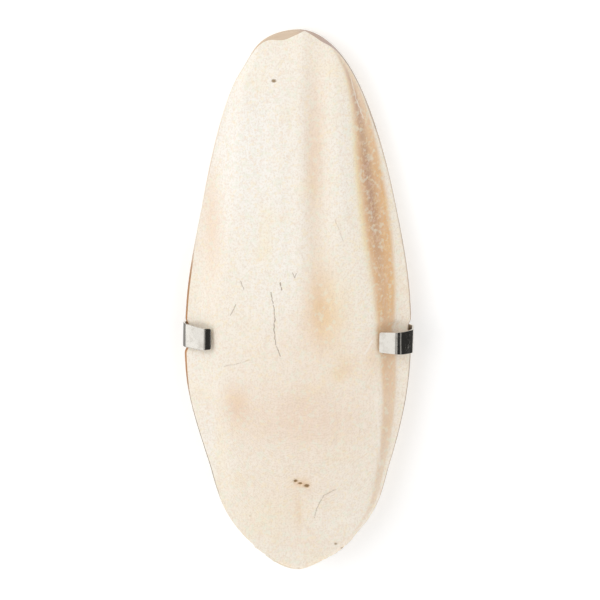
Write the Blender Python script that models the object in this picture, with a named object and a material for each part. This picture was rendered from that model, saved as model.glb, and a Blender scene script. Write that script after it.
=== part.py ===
"""A cuttlebone lying on its hard back, held by a one-piece strip clip folded over its edges.

The bone's length runs along Y with the head end towards +Y, its width runs along X, and the
soft chalky side faces +Z. All sizes are in metres. Both pieces are shaped in the bone's own
level frame and then tipped a little about X, as the bone rests on a flat surface.
"""

import math

import bmesh
import bpy
import numpy as np
from mathutils import Matrix, Vector

MM = 0.001

# Outline: y of the two tips, and how full the left and right halves are along the length.
# A place of -1 is the tail tip and 1 the head tip. A fullness, in mm, times the height of a
# unit circle at that place gives the half width.
HEAD_Y = 69.1 * MM
TAIL_Y = -69.2 * MM
PLACE, LEFT_FULLNESS, RIGHT_FULLNESS = np.transpose([
    (-1.00, 23.4, 16.6),
    (-0.95, 25.5, 25.7),
    (-0.85, 28.5, 29.3),
    (-0.60, 28.1, 28.8),
    (-0.30, 29.3, 28.9),
    (0.00, 28.0, 28.0),
    (0.40, 25.6, 25.8),
    (0.80, 26.9, 25.2),
    (0.90, 28.1, 25.5),
    (1.00, 35.4, 25.7),
])
WIDEST_HALF = 28.3 * MM

# Hard back: how far its keel line rises at the tips, and how far its edges stand above it
HEAD_RISE = 7.0 * MM
TAIL_RISE = 7.0 * MM
RISE_POWER = 2.4
ARCH = 6.2 * MM
ARCH_POWER = 2.2
ARCH_FADE = 1.3
RIM = 1.2 * MM
RIM_SLOPE = 0.22

# Chalk: height of its middle line above the lowest point of the back, in mm
CREST_PLACE, CREST_HEIGHT = np.transpose([
    (-1.00, 8.6),
    (-0.90, 9.9),
    (-0.70, 11.4),
    (-0.40, 13.6),
    (-0.10, 15.5),
    (0.15, 16.2),
    (0.40, 15.7),
    (0.65, 14.2),
    (0.85, 12.2),
    (1.00, 8.8),
])
CROWN = 2.4 * MM

# Chalk flanks: shares of the half width where each flank starts to fall and where it ends
FLANK_PLACE, LEFT_TOP, LEFT_FOOT, RIGHT_TOP, RIGHT_FOOT = np.transpose([
    (-1.00, 0.90, 0.98, 0.90, 0.98),
    (-0.85, 0.86, 0.95, 0.90, 0.97),
    (-0.70, 0.79, 0.89, 0.88, 0.97),
    (-0.50, 0.71, 0.83, 0.82, 0.94),
    (-0.30, 0.72, 0.84, 0.75, 0.90),
    (-0.12, 0.74, 0.88, 0.70, 0.87),
    (0.10, 0.71, 0.90, 0.66, 0.90),
    (0.30, 0.70, 0.94, 0.64, 0.94),
    (0.60, 0.74, 0.97, 0.69, 0.98),
    (0.83, 0.87, 1.00, 0.84, 1.01),
    (0.94, 0.93, 1.01, 0.95, 1.03),
    (1.00, 1.05, 1.12, 1.05, 1.12),
])
FLANK_ROUNDING = 0.10

# Long ridges and hollows of the chalk: height, x at mid-length, x at the head, breadth, and the
# places where each one starts and ends
RIDGES = (
    (0.35 * MM, 0.6 * MM, 0.4 * MM, 2.0 * MM, 0.00, 1.20),
    (-0.60 * MM, 6.4 * MM, 4.2 * MM, 3.0 * MM, -0.25, 1.05),
    (0.40 * MM, 12.2 * MM, 8.6 * MM, 2.6 * MM, 0.10, 1.05),
    (0.16 * MM, -5.2 * MM, -4.0 * MM, 2.4 * MM, 0.10, 1.10),
    (-0.20 * MM, -10.4 * MM, -7.6 * MM, 2.8 * MM, 0.00, 1.00),
)
RIDGE_EASE = 0.30

# Head end: the chalk stops short of the shield in two shallow cuts, left and right of the ridge
HEAD_CUTS = (
    (1.75 * MM, -3.6 * MM, 3.4 * MM),
    (0.75 * MM, 5.6 * MM, 2.2 * MM),
    (-0.45 * MM, 1.5 * MM, 1.0 * MM),
)
EDGE_INSET = 0.25 * MM
CUT_FADE_POWER = 10

# Tail end: a hollow that widens like a fan from two pits, and chips out of the thin edge
FAN_DEPTH = 0.8 * MM
FAN_START = -0.68
FAN_END = -0.90
FAN_HALF_WIDTH = 8.0 * MM
PIT_PLACES = ((-0.4 * MM, -45.6 * MM), (2.1 * MM, -46.9 * MM))
PIT_DEPTH = 0.9 * MM
PIT_RADIUS = 1.3 * MM
CHIP_DEPTH = 0.3 * MM
CHIP_MEAN = 0.8
CHIP_START = -0.86
CHIP_EASE = 0.06
CHIP_RATES = (41.0, 97.0)

# Strip clip: a bent strip that runs round the back with one folded tab at each side
CLIP_Y = -9.0 * MM
CLIP_WIDTH = 6.0 * MM
CLIP_TIP_WIDTH = 5.2 * MM
CLIP_THICKNESS = 0.5 * MM
CLIP_SKEW = math.radians(-1.0)
CLIP_GAP = 0.35 * MM
CLIP_FLAT_HALF = 8.0 * MM
CLIP_HUG_X = 20.0 * MM
CLIP_BACK_X = 24.0 * MM
DENT = 0.65 * MM
DENT_SPREAD = 4.2 * MM
# Corners of the inner face beyond the back, for each side: distance out, height, bend radius
LEFT_TAB = (
    (28.35 * MM, 5.5 * MM, 1.2 * MM),
    (28.35 * MM, 8.2 * MM, 1.0 * MM),
    (23.90 * MM, 12.8 * MM, 0.5 * MM),
    (21.90 * MM, 12.6 * MM, 0.0 * MM),
)
RIGHT_TAB = (
    (28.35 * MM, 5.5 * MM, 1.2 * MM),
    (28.35 * MM, 11.0 * MM, 3.0 * MM),
    (25.25 * MM, 14.0 * MM, 2.6 * MM),
    (20.30 * MM, 13.0 * MM, 0.0 * MM),
)

# Fineness of the meshes, and how far the bone's grid lines crowd towards its edges
ACROSS = 32
ALONG = 52
CROWDING_ACROSS = 0.3
CROWDING_ALONG = 0.2
BACK_STEPS = 16
BEND_STEP = math.radians(12)
BONE_SHARP = math.radians(50)
CLIP_SHARP = math.radians(30)


def eased(value):
    """Rise smoothly from 0 to 1 as value does."""
    value = np.clip(value, 0.0, 1.0)
    return value * value * (3.0 - 2.0 * value)


def bump(distance, breadth):
    """A smooth bump that is 1 at no distance."""
    return np.exp(-np.square(distance / breadth))


def through(places, values, at):
    """Read a smooth curve that passes through values at places."""
    slopes = np.gradient(values, places)
    first = np.clip(np.searchsorted(places, at) - 1, 0, len(places) - 2)
    step = places[first + 1] - places[first]
    share = np.clip((at - places[first]) / step, 0.0, 1.0)
    rest = 1.0 - share
    start = rest * rest * ((1.0 + 2.0 * share) * values[first] + share * step * slopes[first])
    end = share * share * ((1.0 + 2.0 * rest) * values[first + 1] - rest * step * slopes[first + 1])
    return start + end


def half_width(place, right):
    """Half width of the outline at a place along the length, on the right or left side."""
    fullness = np.where(right, through(PLACE, RIGHT_FULLNESS, place), through(PLACE, LEFT_FULLNESS, place))
    width = fullness * MM * np.sqrt(np.maximum(1.0 - place * place, 0.0))
    slow, fast = CHIP_RATES
    chips = np.abs(np.sin(slow * place + 2.0 * right) + 0.6 * np.sin(fast * place + 1.0)) - CHIP_MEAN
    width -= CHIP_DEPTH * chips * eased((CHIP_START - place) / CHIP_EASE) * eased((place + 1.0) / CHIP_EASE)
    pressed = np.exp(-((length_at(place) - CLIP_Y) / DENT_SPREAD) ** 4)
    return np.maximum(width, 0.0) - DENT * pressed


def length_at(place):
    """y at a place along the length."""
    return (HEAD_Y + TAIL_Y) / 2 + place * (HEAD_Y - TAIL_Y) / 2


def back_height(share, place):
    """Height of the hard back's outer face, at a share of the half width."""
    rise = np.where(place > 0, HEAD_RISE, TAIL_RISE) * np.abs(place) ** RISE_POWER
    return rise + edge_arch(place) * share ** ARCH_POWER


def edge_arch(place):
    """How far the back's edges stand above its keel line."""
    mean_half = (half_width(place, True) + half_width(place, False)) / 2
    return ARCH * (np.maximum(mean_half, 0.0) / WIDEST_HALF) ** ARCH_FADE


def ridge_relief(x, place):
    """Height that the long ridges and hollows add to the chalk."""
    relief = np.zeros_like(x)
    for height, x_middle, x_head, breadth, start, end in RIDGES:
        ridge_x = x_middle + (x_head - x_middle) * np.clip(place, 0.0, 1.0)
        fade = eased((place - start) / RIDGE_EASE) * eased((end - place) / RIDGE_EASE)
        relief += height * fade * bump(x - ridge_x, breadth)
    return relief


def tail_relief(x, place):
    """Height that the fan-shaped hollow and the two pits take from the chalk near the tail."""
    spread = eased((FAN_START - place) / (FAN_START - FAN_END))
    relief = -FAN_DEPTH * spread * bump(x, 1.5 * MM + spread * FAN_HALF_WIDTH)
    for pit_x, pit_y in PIT_PLACES:
        distance = np.hypot(x - pit_x, length_at(place) - pit_y)
        relief -= PIT_DEPTH * bump(distance, PIT_RADIUS)
    return relief


def chalk_height(x, share, place):
    """Height of the chalk's free face."""
    right = x > 0
    half = half_width(place, right)
    crest = through(CREST_PLACE, CREST_HEIGHT, place) * MM
    top = np.where(right, through(FLANK_PLACE, RIGHT_TOP, place), through(FLANK_PLACE, LEFT_TOP, place))
    foot = np.where(right, through(FLANK_PLACE, RIGHT_FOOT, place), through(FLANK_PLACE, LEFT_FOOT, place))
    rim = back_height(1.0, place) + RIM + RIM_SLOPE * (1.0 - share) * half
    table = crest - CROWN * half / WIDEST_HALF * (share / top) ** 2
    table += ridge_relief(x, place) + tail_relief(x, place)
    fall = (share - top) / (foot - top) / FLANK_ROUNDING
    drop = FLANK_ROUNDING * (np.logaddexp(0.0, fall) - np.logaddexp(0.0, fall - 1.0 / FLANK_ROUNDING))
    return table + (rim - table) * drop


def outline_grid():
    """Shares across and places along the length on a grid whose border is the outline."""
    across, along = np.meshgrid(np.linspace(-1.0, 1.0, ACROSS + 1), np.linspace(-1.0, 1.0, ALONG + 1))
    across += CROWDING_ACROSS * (np.sin(0.5 * math.pi * across) - across)
    along += CROWDING_ALONG * (np.sin(0.5 * math.pi * along) - along)
    place = along * np.sqrt(1.0 - across * across / 2)
    chord = np.sqrt(np.maximum(1.0 - place * place, 1e-12))
    share = np.clip(across * np.sqrt(1.0 - along * along / 2) / chord, -1.0, 1.0)
    return across, along, share, place


def bone_sheets():
    """Points of the chalk's face and of the back's face, on matching grids."""
    across, along, share, place = outline_grid()
    x = share * half_width(place, share > 0)
    y = length_at(place)
    back = np.stack([x, y, back_height(np.abs(share), place)], axis=-1)
    cut = sum(depth * bump(x - cut_x, breadth) for depth, cut_x, breadth in HEAD_CUTS)
    chalk_x = x - EDGE_INSET * across * np.abs(across) ** CUT_FADE_POWER
    chalk_y = y - EDGE_INSET * along * np.abs(along) ** CUT_FADE_POWER
    chalk_y -= cut * np.clip(along, 0.0, 1.0) ** CUT_FADE_POWER
    chalk = np.stack([chalk_x, chalk_y, chalk_height(x, np.abs(share), place)], axis=-1)
    return chalk, back


def border(rows, columns):
    """Grid indices round the border, once round, seen from above and anticlockwise."""
    last_row = rows - 1
    last_column = columns - 1
    path = [(0, column) for column in range(last_column)]
    path += [(row, last_column) for row in range(last_row)]
    path += [(last_row, column) for column in range(last_column, 0, -1)]
    path += [(row, 0) for row in range(last_row, 0, -1)]
    return path


def make_bone():
    """One closed solid: chalk above, hard back below and a thin edge between them."""
    chalk, back = bone_sheets()
    rows, columns = chalk.shape[:2]
    mesh = bmesh.new()
    upper = [[mesh.verts.new(point) for point in line] for line in chalk]
    lower = [[mesh.verts.new(point) for point in line] for line in back]
    for row in range(rows - 1):
        for column in range(columns - 1):
            corners = ((row, column), (row, column + 1), (row + 1, column + 1), (row + 1, column))
            mesh.faces.new([upper[i][j] for i, j in corners])
            mesh.faces.new([lower[i][j] for i, j in reversed(corners)])
    path = border(rows, columns)
    for here, after in zip(path, path[1:] + path[:1]):
        mesh.faces.new([
            lower[here[0]][here[1]],
            lower[after[0]][after[1]],
            upper[after[0]][after[1]],
            upper[here[0]][here[1]],
        ])
    return finish_mesh(mesh, "cuttlebone", BONE_SHARP)


def rounded(corners):
    """Points along straight runs between corners (x, z, radius), with an arc at each corner."""
    points = [Vector(corners[0][:2])]
    for before, corner, after in zip(corners, corners[1:], corners[2:]):
        middle = Vector(corner[:2])
        inward = (Vector(before[:2]) - middle).normalized()
        outward = (Vector(after[:2]) - middle).normalized()
        half_angle = inward.angle(outward) / 2
        reach = corner[2] / math.tan(half_angle)
        centre = middle + (inward + outward).normalized() * (corner[2] / math.sin(half_angle))
        start = middle + inward * reach - centre
        turn = -start.angle_signed(middle + outward * reach - centre)
        steps = max(2, math.ceil(abs(turn) / BEND_STEP))
        points += [centre + Matrix.Rotation(turn * step / steps, 2) @ start for step in range(steps + 1)]
    points.append(Vector(corners[-1][:2]))
    return points


def strip_back_line():
    """Inner face of the strip behind the bone: flat in the middle, then close to the back."""
    place = (CLIP_Y - (HEAD_Y + TAIL_Y) / 2) * 2 / (HEAD_Y - TAIL_Y)
    reach = np.linspace(-CLIP_BACK_X, CLIP_BACK_X, BACK_STEPS + 1)
    reach = np.sort(np.append(reach, [-CLIP_FLAT_HALF, CLIP_FLAT_HALF]))
    distance = np.abs(reach)
    keel = back_height(0.0, place)
    height = back_height(distance / WIDEST_HALF, place) - keel
    flat_height = back_height(CLIP_FLAT_HALF / WIDEST_HALF, place) - keel
    hug = eased((distance - CLIP_FLAT_HALF) / (CLIP_HUG_X - CLIP_FLAT_HALF))
    height = np.where(distance < CLIP_FLAT_HALF * 1.001, 0.0, height - flat_height * (1.0 - hug))
    return [(x, z + keel - CLIP_GAP, 0.0) for x, z in zip(reach, height)]


def strip_path():
    """Inner face of the whole strip, from the left tab's tip to the right tab's tip."""
    back = strip_back_line()
    left = [(-x, z, radius) for x, z, radius in LEFT_TAB]
    left_side = rounded([back[0]] + left)
    right_side = rounded([back[-1]] + list(RIGHT_TAB))
    middle = [Vector(point[:2]) for point in back[1:-1]]
    return left_side[::-1] + middle + right_side


def strip_half_width(x, z):
    """Half of the strip's width, which narrows towards a tab's tip."""
    if z < LEFT_TAB[1][1]:
        return CLIP_WIDTH / 2
    tip_x = min(LEFT_TAB[-1][0], RIGHT_TAB[-1][0])
    narrowing = (LEFT_TAB[0][0] - abs(x)) / (LEFT_TAB[0][0] - tip_x)
    return (CLIP_WIDTH + (CLIP_TIP_WIDTH - CLIP_WIDTH) * max(narrowing, 0.0)) / 2


def make_clip():
    """The bent strip, as one closed solid swept along its path."""
    path = strip_path()
    mesh = bmesh.new()
    rings = []
    for index, point in enumerate(path):
        before = path[max(index - 1, 0)]
        after = path[min(index + 1, len(path) - 1)]
        run_in = (point - before).normalized() if index else (after - point).normalized()
        run_out = (after - point).normalized() if index < len(path) - 1 else run_in
        along = (run_in + run_out).normalized()
        outward = Vector((along.y, -along.x)) * CLIP_THICKNESS / max(along.dot(run_in), 0.5)
        outer = point + outward
        half = strip_half_width(point.x, point.y)
        ring = [(point, -half), (point, half), (outer, half), (outer, -half)]
        rings.append([mesh.verts.new((spot.x, shift, spot.y)) for spot, shift in ring])
    for ring, following in zip(rings, rings[1:]):
        for side in range(4):
            after = (side + 1) % 4
            mesh.faces.new([ring[side], ring[after], following[after], following[side]])
    mesh.faces.new(rings[0])
    mesh.faces.new(rings[-1][::-1])
    laid_across = Matrix.Translation((0.0, CLIP_Y, 0.0)) @ Matrix.Rotation(CLIP_SKEW, 4, "Z")
    bmesh.ops.transform(mesh, matrix=laid_across, verts=mesh.verts)
    return finish_mesh(mesh, "metal_clip", CLIP_SHARP)


def finish_mesh(mesh, name, sharp_angle):
    """Turn the faces outwards and keep the mesh as a named object."""
    bmesh.ops.recalc_face_normals(mesh, faces=mesh.faces)
    data = bpy.data.meshes.new(name)
    mesh.to_mesh(data)
    mesh.free()
    data.shade_smooth()
    data.set_sharp_from_angle(angle=sharp_angle)
    piece = bpy.data.objects.new(name, data)
    bpy.context.collection.objects.link(piece)
    return piece


def give_material(piece, name, colour, metallic, roughness):
    """One plain Principled material for a piece."""
    material = bpy.data.materials.new(name)
    material.use_nodes = True
    shader = material.node_tree.nodes["Principled BSDF"]
    shader.inputs["Base Color"].default_value = (*colour, 1.0)
    shader.inputs["Metallic"].default_value = metallic
    shader.inputs["Roughness"].default_value = roughness
    piece.data.materials.append(material)


def resting_tilt(bone, clip):
    """Angle that lowers the head end until the back meets the surface in front of the strip."""
    pivot = min((vertex.co for vertex in clip.data.vertices), key=lambda point: (point.z, -point.y))
    ahead = [vertex.co for vertex in bone.data.vertices if vertex.co.y > pivot.y + CLIP_WIDTH]
    return min(math.atan2(point.z - pivot.z, point.y - pivot.y) for point in ahead)


def set_down(pieces, tilt):
    """Tip both pieces about X and stand their shared box on the origin."""
    turn = Matrix.Rotation(-tilt, 4, "X")
    points = np.array([turn @ vertex.co for piece in pieces for vertex in piece.data.vertices])
    low = points.min(axis=0)
    high = points.max(axis=0)
    rest = bpy.data.objects.new("rest_pose", None)
    bpy.context.collection.objects.link(rest)
    rest.rotation_euler.x = -tilt
    rest.location = (-(low[0] + high[0]) / 2, -(low[1] + high[1]) / 2, -low[2])
    for piece in pieces:
        piece.parent = rest


def main():
    for thing in list(bpy.data.objects):
        bpy.data.objects.remove(thing)
    bone = make_bone()
    clip = make_clip()
    give_material(bone, "chalky bone", (0.90, 0.83, 0.73), 0.0, 0.85)
    give_material(clip, "plated steel", (0.78, 0.77, 0.75), 1.0, 0.18)
    set_down([bone, clip], resting_tilt(bone, clip))
    bpy.context.view_layer.update()


main()
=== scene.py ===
# %% [markdown]
# A cuttlebone is the light inner shell of a cuttlefish. It has a hard, granular shield on one
# side and many thin layers of soft chalk on the other. This one lies on its shield, chalk up, in
# a bent metal strip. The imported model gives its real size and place, and everything here is
# built around it, in metres. Loading that model first means that nothing has to be fitted later.

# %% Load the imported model
import math

import bpy
import numpy as np
from mathutils import Matrix, Vector


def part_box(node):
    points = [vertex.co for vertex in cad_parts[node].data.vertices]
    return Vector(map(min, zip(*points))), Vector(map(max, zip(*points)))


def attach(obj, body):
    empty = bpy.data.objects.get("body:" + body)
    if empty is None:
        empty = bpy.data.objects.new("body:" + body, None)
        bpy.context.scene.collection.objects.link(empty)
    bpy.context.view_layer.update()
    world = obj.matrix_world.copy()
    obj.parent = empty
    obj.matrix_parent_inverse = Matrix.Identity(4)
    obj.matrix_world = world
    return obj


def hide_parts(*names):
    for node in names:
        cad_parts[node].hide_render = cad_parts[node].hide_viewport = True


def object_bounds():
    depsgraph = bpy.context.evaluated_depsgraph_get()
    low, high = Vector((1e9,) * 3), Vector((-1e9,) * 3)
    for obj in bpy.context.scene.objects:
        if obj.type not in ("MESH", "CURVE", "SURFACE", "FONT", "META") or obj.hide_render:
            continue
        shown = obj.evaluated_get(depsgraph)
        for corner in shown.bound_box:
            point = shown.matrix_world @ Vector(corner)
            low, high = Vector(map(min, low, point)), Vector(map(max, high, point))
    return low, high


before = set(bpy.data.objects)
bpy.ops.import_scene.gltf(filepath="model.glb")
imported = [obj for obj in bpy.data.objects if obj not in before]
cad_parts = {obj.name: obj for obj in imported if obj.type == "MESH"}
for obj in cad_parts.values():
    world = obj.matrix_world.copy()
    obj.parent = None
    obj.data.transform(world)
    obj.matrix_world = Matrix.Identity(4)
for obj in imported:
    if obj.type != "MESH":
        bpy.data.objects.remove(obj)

MM = 0.001
BODY = "root"
cad_low, cad_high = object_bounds()

# %% [markdown]
# The camera looks down on the chalk, a little from the head end, which shows the wall at that
# end as a thin crescent. A short lens would make the near end look larger. A very long lens far
# away keeps both ends true, so the outline can be compared with the photo point by point.

# %% Set up the camera
VIEW_TILT = math.radians(12.5)
REST_TILT = math.radians(2.560)
LENS = 600.0
SENSOR = 36.0
IMAGE_PIXELS = 600
MM_PER_PIXEL = 0.25
MIDDLE_COLUMN = 298.5
MIDDLE_ROW = 300.65


def add_camera():
    """Place the camera so that the object's middle falls on its pixel in the photo."""
    tilt = VIEW_TILT + REST_TILT
    right = Vector((1.0, 0.0, 0.0))
    up = Vector((0.0, math.cos(tilt), -math.sin(tilt)))
    towards = right.cross(up)
    points = [vertex.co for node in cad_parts.values() for vertex in node.data.vertices]
    heights = [point.dot(up) for point in points]
    pixel = MM_PER_PIXEL * MM
    aim = right * (IMAGE_PIXELS / 2 - MIDDLE_COLUMN) * pixel
    aim += up * ((max(heights) + min(heights)) / 2 + (MIDDLE_ROW - IMAGE_PIXELS / 2) * pixel)
    aim += towards * (cad_low.z + cad_high.z) / 2
    distance = IMAGE_PIXELS * pixel * LENS / SENSOR
    data = bpy.data.cameras.new("camera")
    data.lens = LENS
    data.sensor_width = SENSOR
    data.clip_end = 4 * distance
    camera = bpy.data.objects.new("camera", data)
    bpy.context.collection.objects.link(camera)
    turn = Matrix((right, up, towards)).transposed().to_4x4()
    camera.matrix_world = Matrix.Translation(aim + towards * distance) @ turn
    bpy.context.scene.camera = camera
    print("camera distance in m", round(distance, 3))


add_camera()

# %% [markdown]
# The bone's form follows a few rules: an outline like a full ellipse, a lens-shaped back, and a
# crest line along the chalk with flanks that fall to a thin rim. Sculpting it by hand would be
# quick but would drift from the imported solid. The rules below are the solid's own, so a mesh of
# any fineness made from them lies on it. Lengths are in the bone's own level frame.

# %% Rules of the outline and the back
HEAD_Y = 69.1 * MM
TAIL_Y = -69.2 * MM
PLACE, LEFT_FULLNESS, RIGHT_FULLNESS = np.transpose([
    (-1.00, 23.4, 16.6),
    (-0.95, 25.5, 25.7),
    (-0.85, 28.5, 29.3),
    (-0.60, 28.1, 28.8),
    (-0.30, 29.3, 28.9),
    (0.00, 28.0, 28.0),
    (0.40, 25.6, 25.8),
    (0.80, 26.9, 25.2),
    (0.90, 28.1, 25.5),
    (1.00, 35.4, 25.7),
])
WIDEST_HALF = 28.3 * MM
HEAD_RISE = 7.0 * MM
TAIL_RISE = 7.0 * MM
RISE_POWER = 2.4
ARCH = 6.2 * MM
ARCH_POWER = 2.2
ARCH_FADE = 1.3
CHIP_DEPTH = 0.3 * MM
CHIP_MEAN = 0.8
CHIP_START = -0.86
CHIP_EASE = 0.06
CHIP_RATES = (41.0, 97.0)
CRUMBLE = 0.10 * MM
CLIP_Y = -9.0 * MM
DENT = 0.65 * MM
DENT_SPREAD = 3.6 * MM


def eased(value):
    """Rise smoothly from 0 to 1 as value does."""
    value = np.clip(value, 0.0, 1.0)
    return value * value * (3.0 - 2.0 * value)


def bump(distance, breadth):
    """A smooth bump that is 1 at no distance."""
    return np.exp(-np.square(distance / breadth))


def through(places, values, at):
    """Read a smooth curve that passes through values at places."""
    slopes = np.gradient(values, places)
    first = np.clip(np.searchsorted(places, at) - 1, 0, len(places) - 2)
    step = places[first + 1] - places[first]
    share = np.clip((at - places[first]) / step, 0.0, 1.0)
    rest = 1.0 - share
    start = rest * rest * ((1.0 + 2.0 * share) * values[first] + share * step * slopes[first])
    end = share * share * ((1.0 + 2.0 * rest) * values[first + 1] - rest * step * slopes[first + 1])
    return start + end


def length_at(place):
    """y at a place along the length, from -1 at the tail to 1 at the head."""
    return (HEAD_Y + TAIL_Y) / 2 + place * (HEAD_Y - TAIL_Y) / 2


def half_width(place, right):
    """Half width of the outline at a place along the length, on the right or left side."""
    fullness = np.where(right, through(PLACE, RIGHT_FULLNESS, place), through(PLACE, LEFT_FULLNESS, place))
    width = fullness * MM * np.sqrt(np.maximum(1.0 - place * place, 0.0))
    slow, fast = CHIP_RATES
    chips = np.abs(np.sin(slow * place + 2.0 * right) + 0.6 * np.sin(fast * place + 1.0)) - CHIP_MEAN
    tail_end = eased((CHIP_START - place) / CHIP_EASE) * eased((place + 1.0) / CHIP_EASE)
    crumbs = np.sin(3.7 * fast * place + 3.0 * right) + np.sin(6.1 * fast * place)
    width -= (CHIP_DEPTH * chips + CRUMBLE * crumbs) * tail_end
    pressed = np.exp(-((length_at(place) - CLIP_Y) / DENT_SPREAD) ** 8)
    return np.maximum(width, 0.0) - DENT * pressed


def edge_arch(place):
    """How far the back's edges stand above its keel line."""
    mean_half = (half_width(place, True) + half_width(place, False)) / 2
    return ARCH * (np.maximum(mean_half, 0.0) / WIDEST_HALF) ** ARCH_FADE


def back_height(share, place):
    """Height of the hard back's outer face, at a share of the half width."""
    rise = np.where(place > 0, HEAD_RISE, TAIL_RISE) * np.abs(place) ** RISE_POWER
    return rise + edge_arch(place) * share ** ARCH_POWER


print("width at mid-length in mm", round((half_width(0.0, True) + half_width(0.0, False)) / MM, 1))

# %% [markdown]
# The chalk has a blunt crest with a few long, low ridges and hollows that run together at the
# head, and its flanks fall away to the rim. Each ridge is a soft bump across the width that fades
# in and out along the length, which is easier to steer than a painted height map.

# %% Rules of the chalk
CREST_PLACE, CREST_HEIGHT = np.transpose([
    (-1.00, 8.6),
    (-0.90, 9.9),
    (-0.70, 11.4),
    (-0.40, 13.6),
    (-0.10, 15.5),
    (0.15, 16.2),
    (0.40, 15.7),
    (0.65, 14.2),
    (0.85, 12.2),
    (1.00, 8.8),
])
CROWN = 2.4 * MM
RIM = 1.2 * MM
RIM_SLOPE = 0.22
FLANK_PLACE, LEFT_TOP, LEFT_FOOT, RIGHT_TOP, RIGHT_FOOT = np.transpose([
    (-1.00, 0.90, 0.98, 0.90, 0.98),
    (-0.85, 0.86, 0.95, 0.90, 0.97),
    (-0.70, 0.79, 0.89, 0.88, 0.97),
    (-0.50, 0.71, 0.83, 0.82, 0.94),
    (-0.30, 0.72, 0.84, 0.75, 0.90),
    (-0.12, 0.74, 0.88, 0.70, 0.87),
    (0.10, 0.71, 0.90, 0.66, 0.90),
    (0.30, 0.70, 0.94, 0.64, 0.94),
    (0.60, 0.74, 0.97, 0.69, 0.98),
    (0.83, 0.87, 1.00, 0.84, 1.01),
    (0.94, 0.93, 1.01, 0.95, 1.03),
    (1.00, 1.05, 1.12, 1.05, 1.12),
])
FLANK_ROUNDING = 0.10
RIDGES = (
    (0.35 * MM, 0.6 * MM, 0.4 * MM, 2.0 * MM, 0.00, 1.20),
    (-0.60 * MM, 6.4 * MM, 4.2 * MM, 3.0 * MM, -0.25, 1.05),
    (0.40 * MM, 12.2 * MM, 8.6 * MM, 2.6 * MM, 0.10, 1.05),
    (0.16 * MM, -5.2 * MM, -4.0 * MM, 2.4 * MM, 0.10, 1.10),
    (-0.20 * MM, -10.4 * MM, -7.6 * MM, 2.8 * MM, 0.00, 1.00),
)
RIDGE_EASE = 0.30
FAN_DEPTH = 0.8 * MM
FAN_START = -0.68
FAN_END = -0.90
FAN_HALF_WIDTH = 8.0 * MM


def ridge_relief(x, place):
    """Height that the long ridges and hollows add to the chalk."""
    relief = np.zeros_like(x)
    for height, x_middle, x_head, breadth, start, end in RIDGES:
        ridge_x = x_middle + (x_head - x_middle) * np.clip(place, 0.0, 1.0)
        fade = eased((place - start) / RIDGE_EASE) * eased((end - place) / RIDGE_EASE)
        relief += height * fade * bump(x - ridge_x, breadth)
    return relief


def fan_share(x, place):
    """How much a point lies in the fan-shaped hollow near the tail."""
    spread = eased((FAN_START - place) / (FAN_START - FAN_END))
    return spread * bump(x, 1.5 * MM + spread * FAN_HALF_WIDTH)


def flank_reach(share, place, right):
    """0 where the flank starts and 1 at its foot, and the share of the top that lies inside a point."""
    top = np.where(right, through(FLANK_PLACE, RIGHT_TOP, place), through(FLANK_PLACE, LEFT_TOP, place))
    foot = np.where(right, through(FLANK_PLACE, RIGHT_FOOT, place), through(FLANK_PLACE, LEFT_FOOT, place))
    return (share - top) / (foot - top), share / top


def flank_drop(reach):
    """0 on top of the chalk, 1 at the foot of its flank, with rounded shoulders."""
    fall = reach / FLANK_ROUNDING
    return FLANK_ROUNDING * (np.logaddexp(0.0, fall) - np.logaddexp(0.0, fall - 1.0 / FLANK_ROUNDING))


def chalk_height(x, share, place):
    """Height of the chalk's free face, before its small marks."""
    right = x > 0
    half = half_width(place, right)
    reach, crown_share = flank_reach(share, place, right)
    table = through(CREST_PLACE, CREST_HEIGHT, place) * MM - CROWN * half / WIDEST_HALF * crown_share ** 2
    table += ridge_relief(x, place) - FAN_DEPTH * fan_share(x, place)
    rim = back_height(1.0, place) + RIM + RIM_SLOPE * (1.0 - share) * half
    return table + (rim - table) * flank_drop(reach)


print("crest in mm", CREST_HEIGHT.max(), "ridges and hollows", len(RIDGES))

# %% [markdown]
# Two small pits sit near the tail, where the growth lines close round, and a few shallow dints
# come from handling. Each one has a place, a depth and a reach across and along. The same sum
# gives the dint's depth and the mask that later darkens it, more where it is deeper, so shape and
# colour can't part.

# %% Pits in the chalk
PITS = (
    (0.90 * MM, -0.7 * MM, -45.4 * MM, 0.55 * MM, 0.42 * MM),
    (0.50 * MM, 0.4 * MM, -46.0 * MM, 0.70 * MM, 0.30 * MM),
    (0.90 * MM, 2.1 * MM, -46.7 * MM, 0.80 * MM, 0.48 * MM),
    (0.35 * MM, -6.1 * MM, 57.0 * MM, 0.80 * MM, 0.50 * MM),
    (0.20 * MM, -13.9 * MM, -1.9 * MM, 0.35 * MM, 0.30 * MM),
)
FAINT_PITS = (
    (0.20 * MM, -12.1 * MM, -54.8 * MM, 0.60 * MM, 0.40 * MM),
    (0.25 * MM, 9.4 * MM, -62.2 * MM, 0.70 * MM, 0.50 * MM),
    (0.25 * MM, 10.9 * MM, -63.3 * MM, 0.60 * MM, 0.50 * MM),
)
PIT_DARKEST = 0.35 * MM


def marks(x, y):
    """Depth of all pits at points in the plan, and how dark each point is, 0 to 1."""
    depth = np.zeros_like(x)
    dark = np.zeros_like(x)
    for deep, pit_x, pit_y, reach_x, reach_y in PITS + FAINT_PITS:
        near = np.exp(-np.hypot((x - pit_x) / reach_x, (y - pit_y) / reach_y) ** 3)
        depth += deep * near
        dark = np.maximum(dark, near * min(1.0, deep / PIT_DARKEST))
    return depth, dark


print("pits", len(PITS), "faint ones", len(FAINT_PITS))
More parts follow.
